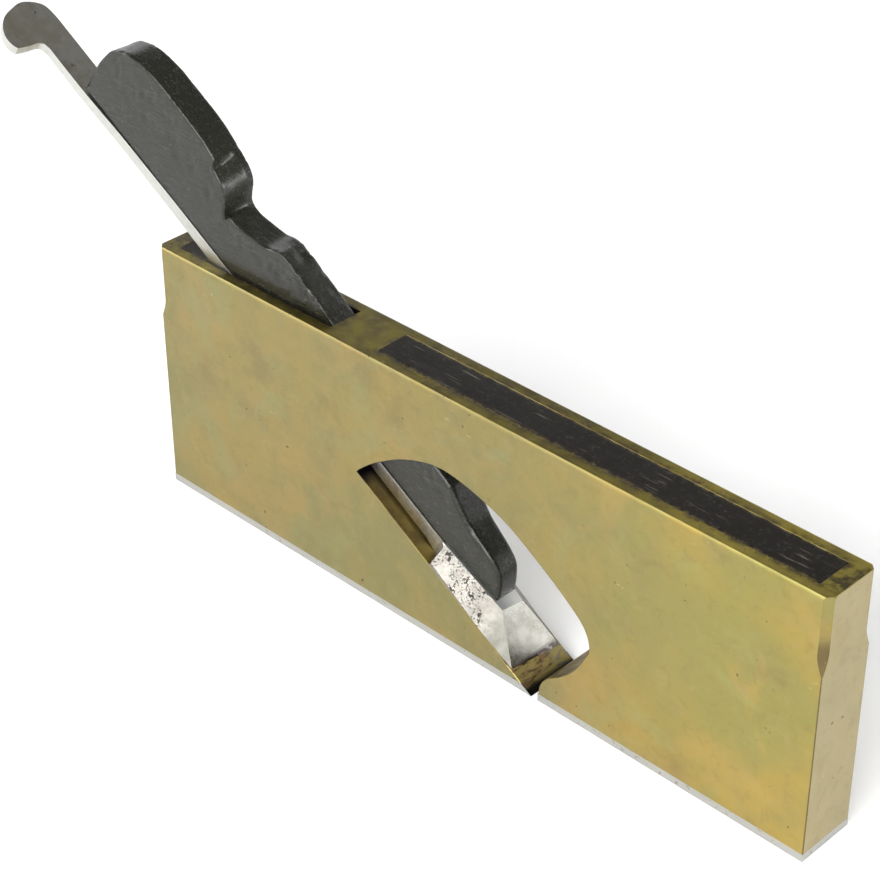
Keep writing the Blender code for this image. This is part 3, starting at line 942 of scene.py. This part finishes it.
def iron_steel():
    """Forged steel: blotchy on the shank, with sides that pale towards the head, a pitted blade, and a
    painted highlight on the blade's front towards the far side.
    """
    look = Look("old_iron_steel")
    along = look.up_the_bed()
    blotches = look.noise(8.0, 5.0, 0.6)
    fine = look.noise(0.7, 3.0, 0.6)
    pale, deep = colour(0.490, 0.480, 0.425), colour(0.340, 0.318, 0.255)
    face = look.mix(look.range(blotches, 0.38, 0.66), pale, deep)
    face = look.mix(look.range(fine, 0.5, 0.8, 0.0, 0.3), face, colour(0.50, 0.50, 0.47))
    rust = look.range(look.noise(1.6, 3.0, 0.6), 0.62, 0.67)
    rust = look.times(rust, look.range(look.noise(12.0, 2.0, 0.5), 0.48, 0.58))
    face = look.layer(face, rust, 0.8, colour(0.055, 0.042, 0.028))
    sides = look.range(look.size("ny"), 0.30, 0.60)
    striped = look.noise(1.4, 5.0, 0.7)
    pale, deep = colour(0.40, 0.39, 0.355), colour(0.31, 0.30, 0.27)
    side_tone = look.mix(look.range(striped, 0.38, 0.62), pale, deep)
    near_head = look.range(along, 120.0 * MM, 185.0 * MM, 0.0, 0.70)
    side_tone = look.mix(near_head, side_tone, colour(0.60, 0.61, 0.57))
    base = look.mix(sides, face, side_tone)
    blade = look.range(along, (SHOULDER_U + 1.4) * MM, (SHOULDER_U + 0.4) * MM)
    cloud = look.range(look.noise(3.0, 4.0, 0.6), 0.35, 0.65)
    bright = look.mix(cloud, colour(0.33, 0.325, 0.285), colour(0.43, 0.42, 0.38))
    front = look.range(look.part("nz"), 0.72, 0.80)
    # Painted highlight: the blade's front faces are painted near white towards the far side.
    far_side_glint = look.range(look.part("y"), -4.0 * MM, 3.0 * MM)
    flat = look.mix(far_side_glint, colour(0.50, 0.52, 0.50), colour(0.88, 0.88, 0.85))
    bright = look.mix(front, bright, flat)
    flat_face = look.times(blade, front)
    flank = look.times(blade, sides)
    flank_tone = look.mix(cloud, colour(0.215, 0.206, 0.184), colour(0.280, 0.272, 0.245))
    bright = look.mix(flank, bright, flank_tone)
    worn = look.times(flank, look.range(along, 30.0 * MM, 12.0 * MM))
    bright = look.mix(worn, bright, colour(0.62, 0.63, 0.60), "MULTIPLY")
    base = look.mix(blade, base, bright)
    cluster = look.range(look.noise(6.5, 2.0, 0.5), 0.40, 0.56)
    zone = look.times(look.range(along, 20.0 * MM, 27.0 * MM), blade)
    zone = look.times(zone, look.range(look.size("ny"), 0.2, 0.5))
    pit = look.math("MAXIMUM", look.range(look.noise(0.55, 2.0, 0.5), 0.57, 0.66, 0.0, 0.7),
                    look.range(look.noise(1.7, 3.0, 0.6), 0.60, 0.65))
    pits = look.times(look.times(pit, cluster), zone)
    base = look.layer(base, pits, 0.75, colour(0.045, 0.040, 0.033))
    rub = look.times(look.range(look.noise(0.6, 3.0, 0.6), 0.46, 0.62, 0.0, 0.45), zone)
    base = look.mix(rub, base, colour(0.20, 0.17, 0.15))
    strip = look.times(look.range(along, (EDGE_U + 1.5) * MM, (EDGE_U + 1.2) * MM), blade)
    base = look.layer(base, strip, 0.75, colour(0.20, 0.185, 0.185))
    burr = look.times(look.range(look.noise(1.3, 4.0, 0.6), 0.40, 0.52), blade)
    burr = look.times(burr, look.range(along, (EDGE_U + 0.95) * MM, (EDGE_U + 0.55) * MM))
    base = look.layer(base, burr, 0.8, colour(0.055, 0.036, 0.024))
    rough = look.range(blotches, 0.3, 0.7, 0.30, 0.42)
    rough = look.math("SUBTRACT", rough, look.times(blade, 0.10))
    rough = look.math("ADD", rough, look.times(look.math("MAXIMUM", flank, flat_face), 0.26))
    rough = look.math("ADD", rough, look.times(pits, 0.35))
    normal = look.bump(fine, 0.012)
    normal = look.bump(pits, -0.12, normal=normal)
    return look.finish(base, rough, 1.0, normal)


def ebony(name, pale, deep, rough_low, rough_high, specular, scored=False):
    """Waxed ebony: near black, with grain, scuffs and pale specks. Scored pieces have a dusty, cut top."""
    look = Look(name)
    grain = look.noise(0.8, 4.0, 0.6, place=look.stretched(0.06, 1.0, 1.0))
    specks = look.range(look.noise(0.8, 2.0, 0.6), 0.62, 0.70)
    base = look.mix(grain, pale, deep)
    base = look.layer(base, specks, 0.14, colour(0.10, 0.095, 0.085))
    scuffs = look.noise(1.6, 5.0, 0.7)
    base = look.mix(look.range(scuffs, 0.56, 0.70, 0.0, 0.5), base, colour(0.050, 0.047, 0.042))
    if scored:
        side = HALF_WIDTH - WALL
        rim = look.range(look.size("y"), (side - 1.0) * MM, (side - 0.2) * MM)
        dust = look.times(rim, look.range(look.noise(1.6, 4.0, 0.65), 0.40, 0.60))
        base = look.mix(dust, base, colour(0.075, 0.055, 0.022))
        cuts = look.range(look.noise(0.7, 2.0, 0.5, place=look.stretched(0.05, 1.0, 1.0)), 0.62, 0.70)
        cuts = look.times(cuts, look.range(look.noise(14.0, 2.0, 0.5), 0.48, 0.60))
        base = look.mix(cuts, base, colour(0.085, 0.078, 0.060))
    normal = look.bump(look.noise(5.0, 3.0, 0.5), 0.05)
    normal = look.bump(scuffs, 0.010, normal=normal)
    normal = look.bump(specks, -0.008, normal=normal)
    rough = look.math("ADD", look.range(grain, 0.3, 0.7, rough_low, rough_high),
                      look.range(scuffs, 0.56, 0.74, 0.0, 0.15))
    return look.finish(base, rough, 0.0, normal, specular)


def floor_finish():
    """Matt and almost white."""
    look = Look("pale_floor")
    tone = look.noise(180.0, 2.0, 0.5)
    base = look.mix(tone, colour(0.93, 0.93, 0.93), colour(0.95, 0.95, 0.95))
    return look.finish(base, 0.9, 0.0)


# ---------------------------------------------------------------- stage, lights and camera

def make_floor():
    """A round pale sweep: flat under the plane, and curved up into a low wall far away all round."""
    middle = 400.0
    flat = 1700.0
    bend = 700.0
    rim = 1500.0
    below_sole = 0.05
    bend_steps = 12
    profile = [(middle, 0.0), (flat, 0.0)]
    for step in range(1, bend_steps + 1):
        turn = math.pi / 2 * step / bend_steps
        profile.append((flat + bend * math.sin(turn), bend * (1 - math.cos(turn))))
    profile.append((flat + bend, rim))
    solid = bmesh.new()
    around = 96
    rings = []
    for radius, height in profile:
        ring = []
        for step in range(around):
            angle = 2 * math.pi * step / around
            x = radius * math.cos(angle)
            y = radius * math.sin(angle)
            ring.append(solid.verts.new(Vector((x, y, height - below_sole)) * MM))
        rings.append(ring)
    solid.faces.new(rings[0])
    join_rings(solid, rings)
    floor = object_from("floor", solid)
    for face in floor.data.polygons:
        face.use_smooth = True
    floor.data.materials.append(floor_finish())
    if floor.data.polygons[0].normal.z < 0:
        floor.data.flip_normals()


def area_light(name, place, size, power, height=None):
    """A round softbox aimed at the plane, or a rectangular one that is size wide and height high."""
    aim = (0, 0, 0.05)
    light = bpy.data.lights.new(name, "AREA")
    light.shape = "RECTANGLE" if height else "DISK"
    light.size = size
    if height:
        light.size_y = height
    light.energy = power
    made = bpy.data.objects.new(name, light)
    bpy.context.scene.collection.objects.link(made)
    made.location = place
    made.rotation_euler = (Vector(aim) - Vector(place)).to_track_quat("-Z", "Y").to_euler()
    made.visible_camera = False


def make_lights():
    """A wide key light on the near side, a small one at each end, and a soft pale surround."""
    area_light("key_light", place=(0.45, -2.1, 1.25), size=3.4, power=140.0, height=1.5)
    area_light("toe_light", place=(2.0, 0.3, 0.9), size=1.2, power=24.0)
    area_light("heel_light", place=(-1.9, -1.0, 1.0), size=1.2, power=16.0)
    world = bpy.data.worlds.new("studio")
    bpy.context.scene.world = world
    world.use_nodes = True
    background = world.node_tree.nodes["Background"]
    background.inputs["Color"].default_value = colour(0.98, 0.99, 1.0)
    background.inputs["Strength"].default_value = 0.26
    bpy.context.scene.view_settings.view_transform = "Standard"


def make_camera():
    """A long lens, above the near side and towards the toe."""
    lens = bpy.data.cameras.new("camera")
    lens.lens = 97.62
    lens.sensor_width = 36.0
    lens.clip_start = 0.01
    camera = bpy.data.objects.new("camera", lens)
    bpy.context.scene.collection.objects.link(camera)
    camera.location = (0.362109, -0.382932, 0.422755)
    camera.rotation_euler = [math.radians(angle) for angle in (55.943, 0.2845, 44.382)]
    bpy.context.scene.camera = camera


# ---------------------------------------------------------------- the model

def place_piece(made, body, node, material):
    """Gives the piece its material and the body it moves with, and hides the CAD node that it stands for.
    """
    made.data.materials.clear()
    made.data.materials.append(material)
    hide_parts(node)
    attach(made, body)


def main():
    brass = gunmetal()
    steel = sole_steel()
    dull_black = ebony("waxed_ebony_infill", colour(0.003, 0.002, 0.001), colour(0.006, 0.004, 0.002),
                       0.36, 0.48, 0.15, True)
    place_piece(make_body(), "stock", "body", brass)
    for name, node, front in (("rear_sole", "sole_plate_rear", False),
                              ("front_sole", "sole_plate_front", True)):
        place_piece(make_sole(name, node, front), "stock", node, steel)
    for name, node, outline, seed in (("rear_ebony", "infill_rear", rear_pocket_outline(), 11),
                                      ("front_ebony", "infill_front", front_pocket_outline(), 23)):
        place_piece(make_infill(name, outline, seed), "stock", node, dull_black)
    place_piece(make_iron(), "iron", "iron", iron_steel())
    satin_black = ebony("satin_ebony_wedge", colour(0.009, 0.009, 0.006), colour(0.014, 0.014, 0.010),
                        0.20, 0.30, 0.38)
    place_piece(make_wedge(), "wedge", "wedge", satin_black)
    make_floor()
    make_lights()
    make_camera()


main()
